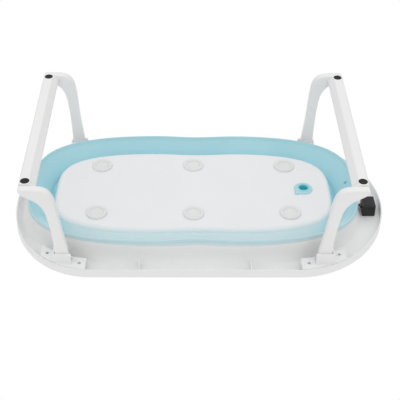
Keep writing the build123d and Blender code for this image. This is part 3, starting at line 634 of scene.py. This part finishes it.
def bellows_stations():
    """(outline, folded depth, extended depth) from the rim to the base."""
    root = pan_loop(WALL_HALF_WIDTH, WALL_HALF_LENGTH, WALL_ROUNDNESS, WALL_WAIST)
    crest = pan_loop(191.8, 356.5, 3.25, 5.8)
    valley = pan_loop(151.6, 314.6, 3.4, 5.5)
    base = pan_loop(142.7, 304.2, 3.5, 5.5)

    def side(t):
        return crest * (1 - t) + valley * t, 67.0 - (67.0 - VALLEY_DEPTH) * t

    def side_extended(t):
        return 62.5 + (VALLEY_DEPTH + DROP - 62.5) * t

    def foot(t):
        return valley * (1 - t) + base * t, VALLEY_DEPTH + 24.0 * t

    stations = []
    for i in range(7):
        t = i / 6
        depth = 50.25 + (CREST_DEPTH - 50.25) * t
        stations.append((root * (1 - t) + crest * t, depth, depth))
    stations += bend((crest, CREST_DEPTH), (side(0.018)[0], 72.6), side(FLAT_START),
                     (CREST_DEPTH, side_extended(FLAT_START)))
    for i in range(19):
        t = FLAT_START + (FLAT_END - FLAT_START) * i / 18
        stations.append((*side(t), side_extended(t)))
    stations += bend(side(FLAT_END), (valley, 15.4), foot(FOOT_START),
                     (side_extended(FLAT_END), foot(FOOT_START)[1] + DROP))
    for i in range(8):
        outline, depth = foot(FOOT_START + (1.0 - FOOT_START) * i / 7)
        stations.append((outline, depth, depth + DROP))
    return stations


def bellows():
    stations = bellows_stations()
    outer = np.array(levels((outline, depth) for outline, depth, _ in stations))
    # share of the base's travel for each point; worked out here but not used further
    share = np.repeat([[(pulled - depth) / DROP] for _, depth, pulled in stations], PAN_COUNT, 1)
    away = np.linalg.norm(outer - PROBE, axis=2)
    t = np.clip((away - PROBE_RADIUS) / PROBE_FADE, 0.0, 1.0)
    share += (PROBE_WEIGHT - share) * (1.0 - t * t * (3.0 - 2.0 * t))

    normal = np.cross(np.roll(outer, -1, 1) - np.roll(outer, 1, 1), np.gradient(outer, axis=0))
    normal /= np.maximum(np.linalg.norm(normal, axis=2), 1e-9)[..., None]
    # near the rim, at the furthest +Y point, the normal has to point away from the basin
    if normal[3, :, 1][np.argmax(outer[3, :, 1])] < 0:
        normal = -normal
    inner = outer - normal * SKIN
    rings = [*outer, *inner[::-1]]
    ob = make("bellows_skin", *loft(rings), angle=60.0, merge=False)
    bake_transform(ob)
    return ob


fit(bellows(), "soft_blue", replaces="bellows_wall")


# ----------------------------------------------------------------- base pan
PAN_EDGE_RADIUS = 11.0
UNDERSIDE_SCALES = (0.25, 0.5, 0.7, 0.85)  # rings of the underside, as shares of its flat part
# (inset, depth): over the pan's upper edge and down its inside
PAN_INSIDE = [(0.0, 43.4), (0.5, 43.0), (2.2, 43.0), (2.7, 43.4), (3.2, 46.0), (4.4, 48.8),
              (6.4, 50.9), (9.0, 51.8), (12.0, 52.0)]


def base_pan():
    outline = pan_loop(141.5, 303.0, 3.5, 5.5)
    centre = np.array([CENTRE_X, 0.0])
    flat = inset(outline, PAN_EDGE_RADIUS)
    # slight crown towards the middle
    stations = [(centre + (flat - centre) * s, 55.0 - 0.35 * (s ** 4)) for s in UNDERSIDE_SCALES]
    stations += [(inset(outline, t), 54.65 - rise * 0.98)
                 for t, rise in rounded_edge(PAN_EDGE_RADIUS, 8)]
    stations += [(inset(outline, t), depth) for t, depth in PAN_INSIDE]
    verts, faces = loft(levels(stations), close=False)
    faces.append(tuple(range(PAN_COUNT)))
    faces.append(tuple(range(len(verts) - PAN_COUNT, len(verts))))
    hole = block(circle(DRAIN_X, 0.0, 15.0, 72), TOP_Z - 60.0, TOP_Z - 48.0)
    return cut(make("base_shell", verts, faces), [hole], angle=45.0)


fit(base_pan(), "white_base", ride="base", replaces="base_pan")

# (radius, depth): a round pad with a raised ring
PAD_PROFILE = [
    (0.0, 54.6), (22.2, 54.6), (22.9, 55.0), (23.0, 55.8), (22.9, 56.9), (22.4, 58.1),
    (21.6, 58.9), (20.4, 59.4), (19.0, 59.5), (17.6, 59.4), (16.4, 59.0), (15.4, 58.2),
    (14.8, 57.2), (14.4, 56.4), (13.6, 56.0), (12.2, 55.9), (6.0, 56.0), (0.0, 56.1),
]
# (x from CENTRE_X, distance from the X axis)
PADS = [(-207.0, 85.0), (0.0, 87.0), (207.0, 85.0)]

pads = [lathe(raised(PAD_PROFILE), CENTRE_X + x, side * y, 72) for side in (-1, 1) for x, y in PADS]
fit(make("pads", *joined(pads), angle=60.0), "soft_white", ride="base", replaces="base_pads")


# -------------------------------------------------------------------- drain
SEAT_SEGMENTS = 120
SEAT_RADIUS = 20.0
LUG_X, LUG_Y, LUG_RADIUS = -14.6, 15.2, 6.2  # round lug, from the drain's centre
LUG_BLEND = 1.6  # softness of the join between lug and ring
# (growth of the lugged outline, depth)
SEAT_LUGGED = [(0.0, 54.7), (0.0, 56.8), (-0.35, 57.7), (-1.2, 58.2), (-2.2, 58.3)]
# (radius, depth): lower face, bore, flange above the pan
SEAT_ROUND = [
    (15.4, 58.25), (14.75, 58.5), (14.6, 59.1), (14.4, 59.9), (13.8, 60.2), (12.6, 60.2),
    (11.95, 60.0), (11.6, 59.4), (11.58, 56.0), (11.58, 50.2), (11.9, 49.95), (18.1, 49.95),
    (18.5, 50.3), (18.5, 51.7), (18.2, 51.95), (14.9, 51.95), (14.9, 54.7),
]
# (radius, depth): head, flange, hollow stem
PLUG_PROFILE = [
    (0.0, 46.6), (8.0, 46.6), (15.4, 46.75), (16.6, 47.3), (17.0, 48.2), (16.8, 49.2),
    (16.2, 49.6), (12.1, 49.62), (11.5, 50.2), (11.5, 58.7), (11.2, 59.1), (10.6, 59.2),
    (9.9, 59.1), (9.5, 58.6), (9.4, 50.6), (8.6, 49.9), (3.0, 49.6), (0.0, 49.6),
]


def lugged_radius(angle, grow):
    """Radius of the seat's outline with its lug at an angle."""
    off = angle - math.atan2(LUG_Y, LUG_X)
    off = math.atan2(math.sin(off), math.cos(off))
    distance, radius = math.hypot(LUG_X, LUG_Y), LUG_RADIUS + grow
    across = distance * math.sin(off)
    lug = 0.0
    if abs(across) < radius and abs(off) < 1.2:
        lug = distance * math.cos(off) + math.sqrt(radius ** 2 - across ** 2)
    ring = SEAT_RADIUS + grow
    return max(ring, lug) + max(0.0, LUG_BLEND - abs(ring - lug)) ** 2 / (4 * LUG_BLEND)


def drain_seat():
    angles = np.linspace(0, 2 * np.pi, SEAT_SEGMENTS, endpoint=False)
    radii = [(np.array([lugged_radius(a, grow) for a in angles]), depth)
             for grow, depth in SEAT_LUGGED] + SEAT_ROUND
    stations = [(circle(DRAIN_X, 0.0, radius, SEAT_SEGMENTS), depth) for radius, depth in radii]
    return make("drain_ring", *loft(levels(stations)), angle=45.0)


def drain_plug():
    """Stopper with an upright tab that has a hole through it."""
    ob = make("stopper", *lathe(raised(PLUG_PROFILE), DRAIN_X, 0.0, 96))
    tab = rounded_rect(DRAIN_X, TOP_Z - 42.2, 15.0, 12.0, 5.0, 8)
    cut(ob, [block(tab, -2.0, 2.0, 0.9, "Y")], "UNION")
    hole = circle(DRAIN_X, TOP_Z - 41.6, 3.0, 32)
    return cut(ob, [block(hole, -4.0, 4.0, axis="Y")], angle=50.0)


fit(drain_seat(), "drain_blue", ride="base", replaces="drain_seat")
fit(drain_plug(), "drain_blue", "plug_blue", ride="plug", replaces="drain_plug")


# --------------------------------------------------------------------- legs
# Side outlines are (x outwards from CENTRE_X, depth). The arm's inner edge runs from the pivot
# to the floor, its outer edge back up.
PIVOT_X, PIVOT_DEPTH = 270.0, 36.0
ARM_INNER = [
    (255.6, 36.0), (256.2, 50.0), (258.9, 72.0), (262.4, 98.0), (265.4, 128.0), (267.6, 156.0),
    (270.4, 182.0), (274.6, 200.0), (281.5, 211.0), (290.5, 217.0), (302.0, 219.8), (314.0, 220.5),
]
ARM_OUTER = [
    (339.2, 220.5), (338.6, 213.5), (332.0, 205.5), (318.5, 197.0), (306.5, 188.5), (298.0, 177.0),
    (292.3, 161.0), (289.3, 141.0), (287.0, 118.0), (285.4, 92.0), (284.4, 66.0), (284.0, 36.0),
]
ARM_LEVELS = np.linspace(58.0, 198.0, 31)  # depths where the wide faces are split into strips
# the blank's two sides, as distances from the X axis, and where they end up at the floor
BLANK_INNER, BLANK_OUTER = 193.5, 206.5
FLOOR_INNER, FLOOR_OUTER = 206.7, 223.8
SIDE_GAP = 1e-4  # keeps the sides just inside the blank's faces
ARM_SEAT = [
    (308.8, 205.5), (308.6, 203.5), (309.6, 199.0), (313.6, 194.0), (321.0, 191.6),
    (329.5, 194.2), (335.5, 199.6), (337.9, 203.6), (338.0, 205.3), (336.6, 206.8),
    (332.0, 207.1), (325.0, 207.1), (316.0, 207.1), (310.2, 206.8), (308.8, 205.5),
]
CROSSBAR = [
    (339.2, 207.2), (339.2, 211.0), (339.2, 216.0), (339.1, 219.0), (338.7, 220.7),
    (337.9, 222.0), (336.8, 222.9), (335.4, 223.2), (332.0, 223.2), (328.0, 223.2),
    (324.0, 223.2), (320.6, 223.2), (319.5, 222.9), (318.5, 222.2), (315.5, 219.0),
    (312.0, 215.2), (309.0, 211.9), (308.0, 210.7), (307.6, 209.6), (307.5, 208.4),
    (307.5, 207.2), (312.0, 207.2), (318.0, 207.2), (324.0, 207.2), (330.0, 207.2), (335.0, 207.2),
]
FOOT_X, FOOT_Y = 327.0, 196.5
# (radius, height above the floor)
FOOT_PROFILE = [(0.0, 0.5), (3.0, 0.48), (5.2, 0.3), (6.0, 0.08), (7.6, 0.0), (8.4, 0.12),
                (8.85, 0.5), (9.0, 1.1), (9.0, 6.0), (8.6, 6.6), (0.0, 6.6)]


def arm_outline():
    """Five runs: pivot end's inner edge, inner levels, floor end, outer levels, pivot end."""
    inner, outer = catmull(ARM_INNER, 24), catmull(ARM_OUTER, 24)[::-1]

    def edge(curve, depths):
        return [(float(np.interp(d, curve[:, 1], curve[:, 0])), d) for d in depths]

    pivot_inner = edge(inner, np.linspace(PIVOT_DEPTH, ARM_LEVELS[0], 5)[:-1])
    floor_end = [tuple(q) for q in inner[::3] if q[1] > 200.0]
    floor_end += [(x, 220.5) for x in np.linspace(317.0, 334.6, 7)]
    floor_end += [(335.2 + 3.8 * math.sin(t), 216.5 + 4.0 * math.cos(t))
                  for t in np.linspace(0.25, math.pi / 2, 7)]
    floor_end += edge(outer, np.linspace(214.6, 200.0, 14)[:-1])
    pivot_outer = edge(outer, np.linspace(ARM_LEVELS[0], PIVOT_DEPTH, 5)[1:])
    # half circle over the pivot, from the outer edge to the inner one
    head_x = (ARM_OUTER[-1][0] + ARM_INNER[0][0]) / 2
    radius = (ARM_OUTER[-1][0] - ARM_INNER[0][0]) / 2
    for i in range(1, 25):
        angle = -math.pi * i / 25
        pivot_outer.append((head_x + radius * math.cos(angle),
                            PIVOT_DEPTH + radius * math.sin(angle)))
    return [pivot_inner, edge(inner, ARM_LEVELS), floor_end, edge(outer, ARM_LEVELS[::-1]),
            pivot_outer]


def to_world(points, sx):
    """Side outline placed in X and Z at the sx end, always anticlockwise."""
    q = np.stack([CENTRE_X + sx * points[:, 0], TOP_Z - points[:, 1]], 1)
    area = 0.5 * np.sum(q[:, 0] * np.roll(q[:, 1], -1) - np.roll(q[:, 0], -1) * q[:, 1])
    return q if area > 0 else q[::-1]


def lean(pivot, floor, depth):
    """Distance from the X axis at a depth, eased from the pivot's to the floor's."""
    t = min(max((depth - 60.0) / 135.0, 0.0), 1.0)
    return pivot + (floor - pivot) * (0.5 * t + 0.5 * t * t * (3 - 2 * t))


def arm_blank(sx, sy):
    """Straight arm with rounded edges."""
    runs = arm_outline()
    outline = to_world(np.array([q for run in runs for q in run]), sx)
    n = len(outline)
    edge = [(t, rise + SIDE_GAP) for t, rise in rounded_edge(3.0, 6)]
    sides = [(t, BLANK_INNER + rise) for t, rise in edge]
    sides += [(t, BLANK_OUTER - rise) for t, rise in reversed(edge)]
    rings = []
    for t, y in sides:
        loop = inset(outline, t)
        rings.append(np.column_stack([loop[:, 0], np.full(n, sy * y), loop[:, 1]]))
    verts, faces = loft(rings, close=False)

    # the two wide faces: strips between the levels and a piece at each end
    starts = np.cumsum([0] + [len(run) for run in runs])
    inner, outer, last = starts[1], starts[3], len(ARM_LEVELS) - 1
    for offset in (0, len(verts) - n):
        def pick(i):
            # to_world reverses the outline at the -X end
            return offset + (n - 1 - i % n if sx < 0 else i % n)

        for k in range(last):
            corners = inner + k, inner + k + 1, outer + last - 1 - k, outer + last - k
            faces.append(tuple(pick(i) for i in corners))
        faces.append(tuple(pick(i) for i in range(inner + last, outer + 1)))
        faces.append(tuple(pick(i) for i in range(outer + last, n + inner + 1)))
    return verts, faces


def leg_arm(name, sx, sy):
    """Arm that leans outwards and thickens towards the floor."""
    ob = make(name, *arm_blank(sx, sy))
    seat = to_world(resample(catmull(ARM_SEAT, 5)[:-1], 110), sx)
    cut(ob, [block(seat, *sorted((sy * 174.3, sy * 197.0)), 1.5, "Y")], "UNION")
    bore = circle(CENTRE_X + sx * PIVOT_X, TOP_Z - PIVOT_DEPTH, 4.08, 48)
    cut(ob, [block(bore, *sorted((sy * 190, sy * 210)), axis="Y")])
    for vert in ob.data.vertices:
        y, depth = abs(vert.co.y) / MM, TOP_Z - vert.co.z / MM
        inner = lean(BLANK_INNER, FLOOR_INNER, depth)
        outer = lean(BLANK_OUTER, FLOOR_OUTER, depth)
        if y < BLANK_INNER:
            y = y + inner - BLANK_INNER
        else:
            y = inner + (y - BLANK_INNER) * (outer - inner) / (BLANK_OUTER - BLANK_INNER)
        vert.co.y = sy * y * MM
    ob.data.update()
    shade(ob, 40.0)
    return ob


def crossbar(name, sx):
    """Beam with a narrow floor face, a sloping inner side and a round boss at each foot plug."""
    ob = make(name, *block(to_world(np.array(CROSSBAR), sx), -206.5, 206.5, 0.9, "Y", steps=3))
    bosses, holes = [], []
    x = CENTRE_X + sx * FOOT_X
    for side in (-1, 1):
        boss = circle(CENTRE_X + sx * 326.4, side * 195.5, 11.0, 72)
        bosses.append(block(boss, TOP_Z - 223.2, TOP_Z - 208.0, 0.9, high_rounding=0.0))
        # pocket for the plug and a narrow bore above it
        y = side * FOOT_Y
        holes.append(block(circle(x, y, 9.1, 64), TOP_Z - 224.0, TOP_Z - 214.7))
        holes.append(block(circle(x, y, 2.1, 32), TOP_Z - 216.0, TOP_Z - 206.0))
    cut(ob, bosses, "UNION")
    return cut(ob, holes, angle=30.0)


def foot_plugs(name, sx):
    plugs = [lathe(FOOT_PROFILE, CENTRE_X + sx * FOOT_X, side * FOOT_Y, 64) for side in (-1, 1)]
    return make(name, *joined(plugs), angle=50.0)


for side, sx in (("left", -1), ("right", 1)):
    leg = side + "_leg"
    for end, sy in (("front", -1), ("rear", 1)):
        arm = leg_arm("%s_arm_%s" % (side, end), sx, sy)
        fit(arm, "white_leg", ride=leg, replaces="%s_arm_%s" % (leg, end))
    fit(crossbar(side + "_crossbar", sx), "white_leg", ride=leg, replaces=leg + "_crossbar")
    plugs = foot_plugs(side + "_plugs", sx)
    fit(plugs, "foot_black", ride=leg, replaces=side + "_foot_plugs")


# ------------------------------------------------------ display read-out
def digits():
    """37.0 in seven segments, upright when seen from the +X end."""
    height, width, line, pitch = 9.0, 4.6, 1.0, 6.4
    point_gap = 0.9  # extra room for the point before the last figure
    lit = {"3": "abcdg", "7": "abc", "0": "abcdef"}
    across = (line, width - line)
    upright = (height / 2 - line * 0.4, line)
    # segment: offset in x and y from the figure's middle, size in x and y
    segments = {
        "a": (-height / 2, 0.0, *across), "g": (0.0, 0.0, *across), "d": (height / 2, 0.0, *across),
        "f": (-height / 4, -width / 2, *upright), "b": (-height / 4, width / 2, *upright),
        "e": (height / 4, -width / 2, *upright), "c": (height / 4, width / 2, *upright),
    }
    bars = []
    for i, figure in enumerate("370"):
        y = WINDOW_Y + (i - 1) * pitch + (point_gap if i == 2 else 0.0)
        for key in lit[figure]:
            dx, dy, *size = segments[key]
            bars.append((WINDOW_X + dx, y + dy, *size))
    bars.append((379.4, 9.7, 1.1, 1.1))  # the point
    shapes = [block(rounded_rect(x, y, w, h, min(w, h) * 0.35, 2), TOP_Z - 4.0, TOP_Z - 3.86)
              for x, y, w, h in bars]
    return make("display_figures", *joined(shapes))


fit(digits(), "display", "display_ink", ride="rim")


# ------------------------------------------------ CAD pieces that stay in view
CAD_MATERIALS = {
    "leg_bracket_front_left": "white_moulding",
    "leg_bracket_front_right": "white_moulding",
    "leg_bracket_rear_left": "white_moulding",
    "leg_bracket_rear_right": "white_moulding",
    "bracket_screws": "screw_steel",
    "pivot_pins": "pin_steel",
    "left_leg_screws": "screw_steel",
    "right_leg_screws": "screw_steel",
    "thermometer_housing": "black_plastic",
    "thermometer_battery_door": "black_plastic",
    "thermometer_circuit_board": "board_green",
    "thermometer_lcd": "display",
    "thermometer_window": "clear_window",
    "thermometer_button": "button_grey",
    "thermometer_button_cells": "cell_steel",
    "thermometer_battery_contact": "contact_brass",
    "thermometer_screws": "screw_steel",
    "probe_cable": "cable_black",
    "temperature_probe": "probe_grey",
}
for node, look in CAD_MATERIALS.items():
    fit(frame["nodes"][node], look)


# -------------------------------------------------------------------- stage
def floor_material():
    """Self-lit tone with contact shade; see-through from below."""
    s = material("floor")
    occlusion = s.node("AmbientOcclusion", {"Distance": 0.35}, samples=8).outputs["AO"]
    geometry = s.node("NewGeometry").outputs
    x, y, _ = s.split(geometry["Position"])
    squared = s.math("ADD", s.math("MULTIPLY", x, x), s.math("MULTIPLY", y, y))
    tone = s.mix(s.patches(scale=3.0), (0.845, 0.845, 0.848), (0.835, 0.836, 0.84))
    tone = s.mix(s.span(squared, source=(1.0, 12.0)), tone, (0.88, 0.88, 0.88))
    contact = s.span(s.math("POWER", occlusion, 0.9), source=(0.0, 1.0), target=(0.35, 1.0),
                     smooth=False)
    glow = s.node("Emission", {"Color": s.mix(1.0, tone, contact, blend="MULTIPLY")})
    surface = s.mix_shader(geometry["Backfacing"], glow, s.node("BsdfTransparent"))
    s.put(s.tree.nodes["Material Output"].inputs["Surface"], surface)
    s.tree.nodes.remove(s.principled)


def floor():
    half, z = 6.0, -0.0004  # metres
    mesh = bpy.data.meshes.new("floor")
    corners = [(-half, -half, z), (half, -half, z), (half, half, z), (-half, half, z)]
    mesh.from_pydata(corners, [], [(0, 1, 2, 3)])
    ob = bpy.data.objects.new("floor", mesh)
    bpy.context.scene.collection.objects.link(ob)
    floor_material()
    mesh.materials.append(MATERIALS["floor"])
    ob.visible_diffuse = ob.visible_glossy = False
    ob.visible_transmission = ob.visible_shadow = False


def world():
    """Soft dome: bright overhead and underneath, lower at the horizon, more from +Y."""
    horizon, poles, toward_y = 0.49, 0.65, 0.12  # strengths
    white = (1.0, 1.0, 1.0)
    made = bpy.data.worlds.new("studio")
    bpy.context.scene.world = made
    made.use_nodes = True
    made.node_tree.nodes.clear()
    s = Shader(made.node_tree)
    _, y, z = s.split(s.coords["Generated"])
    power = s.math("ADD", s.math("MULTIPLY", s.math("ABSOLUTE", z), poles), horizon)
    front = s.math("MULTIPLY", s.math("MAXIMUM", y, 0.0), toward_y)
    power = s.math("ADD", power, front)
    dome = s.node("Background", {"Color": white, "Strength": power})
    # what the camera sees directly
    tone = s.span(z, source=(0.15, 0.4), target=(0.88, 1.0))
    seen = s.node("Background", {"Color": white, "Strength": tone})
    is_camera = s.node("LightPath").outputs["Is Camera Ray"]
    s.node("OutputWorld", {"Surface": s.mix_shader(is_camera, dome, seen)})


def camera():
    data = bpy.data.cameras.new("camera")
    data.lens, data.sensor_width = 83.67, 36.0
    data.clip_start, data.clip_end = 0.05, 50.0
    ob = bpy.data.objects.new("camera", data)
    bpy.context.scene.collection.objects.link(ob)
    location = (-0.0277, 1.6338, -1.0771)
    level_right = Vector((0.99985, 0.01745, 0.0))
    level_up = Vector((0.01075, -0.6158, -0.7877))
    forward = Vector((0.01375, -0.7876, 0.6159))
    roll = math.radians(0.72)
    right = (level_right * math.cos(roll) + level_up * math.sin(roll)).normalized()
    up = (level_up * math.cos(roll) - level_right * math.sin(roll)).normalized()
    ob.matrix_world = Matrix([*zip(right, up, -forward, location), (0, 0, 0, 1)])
    bpy.context.scene.camera = ob


floor()
world()
bpy.context.scene.view_settings.view_transform = "Standard"
camera()
